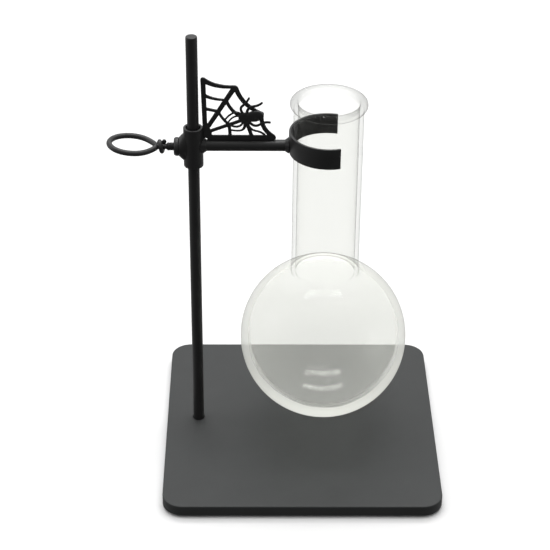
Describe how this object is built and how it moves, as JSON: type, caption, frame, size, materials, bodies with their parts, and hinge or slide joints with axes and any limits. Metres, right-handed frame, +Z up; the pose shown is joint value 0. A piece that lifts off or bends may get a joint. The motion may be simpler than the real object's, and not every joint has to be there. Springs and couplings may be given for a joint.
{
  "type": "retort stand",
  "caption": "Flat-footed stand whose rod carries a sliding, thumb-screwed collar with an arm, a decorative cut web and an open clip that holds a round-bottomed flask by its neck.",
  "frame": {"origin": "centre of the flat face that rests on the table", "axes": "+Z up along the rod, +X along the arm from the rod towards the flask, +Y away from the front of the stand"},
  "size_m": [0.177, 0.15, 0.2434],
  "materials": {
    "plate_coat": "fine matt black powder coat",
    "black_coat": "semi-matt black powder coat",
    "zinc": "zinc plated",
    "pad_rubber": "fine-textured foam rubber",
    "liner_rubber": "matt",
    "nylon": "matt moulded nylon",
    "flask_glass": "clear, blown"
  },
  "bodies": {
    "foot": {"anti_slip_pad": "pad_rubber", "base_plate": "plate_coat", "support_rod": "black_coat", "foot_screw": "zinc", "foot_lock_washer": "zinc"},
    "bush": {"slide_bush": "nylon"},
    "clamp": {"collar": "black_coat", "screw_nut": "black_coat", "arm_rod": "black_coat", "arm_weld": "black_coat", "clip_weld": "black_coat", "clip_band": "black_coat", "clip_liner": "liner_rubber", "web_plate": "black_coat", "spider": "black_coat"},
    "screw_tip": {"pressure_tip": "nylon"},
    "thumb_screw": {"thumb_screw_shank": "black_coat", "ring_knot": "black_coat", "ring_handle": "black_coat"},
    "flask": {"flask": "flask_glass"}
  },
  "joints": [
    {"name": "clamp_height", "type": "slide", "parent": "foot", "child": "bush", "axis": [0, 0, 1], "range_m": [-0.011, 0.049]},
    {"name": "clamp_swing", "type": "hinge", "parent": "bush", "child": "clamp", "pos_m": [-0.0574, 0.0037, 0.1822], "axis": [0, 0, 1], "continuous": true},
    {"name": "thumb_screw_feed", "type": "slide", "parent": "clamp", "child": "screw_tip", "axis": [-1, 0, 0], "range_m": [0, 0.00282]},
    {"name": "thumb_screw_turn", "type": "hinge", "parent": "screw_tip", "child": "thumb_screw", "pos_m": [-0.0704, 0.0037, 0.1814], "axis": [-1, 0, 0], "range_deg": [0, 1440]},
    {"name": "flask_release", "type": "slide", "parent": "clamp", "child": "flask", "axis": [1, 0, 0], "range_m": [0, 0.06]}
  ],
  "couplings": [
    {"joint": "thumb_screw_feed", "follows": "thumb_screw_turn", "m_per_rad": 0.00011141}
  ]
}
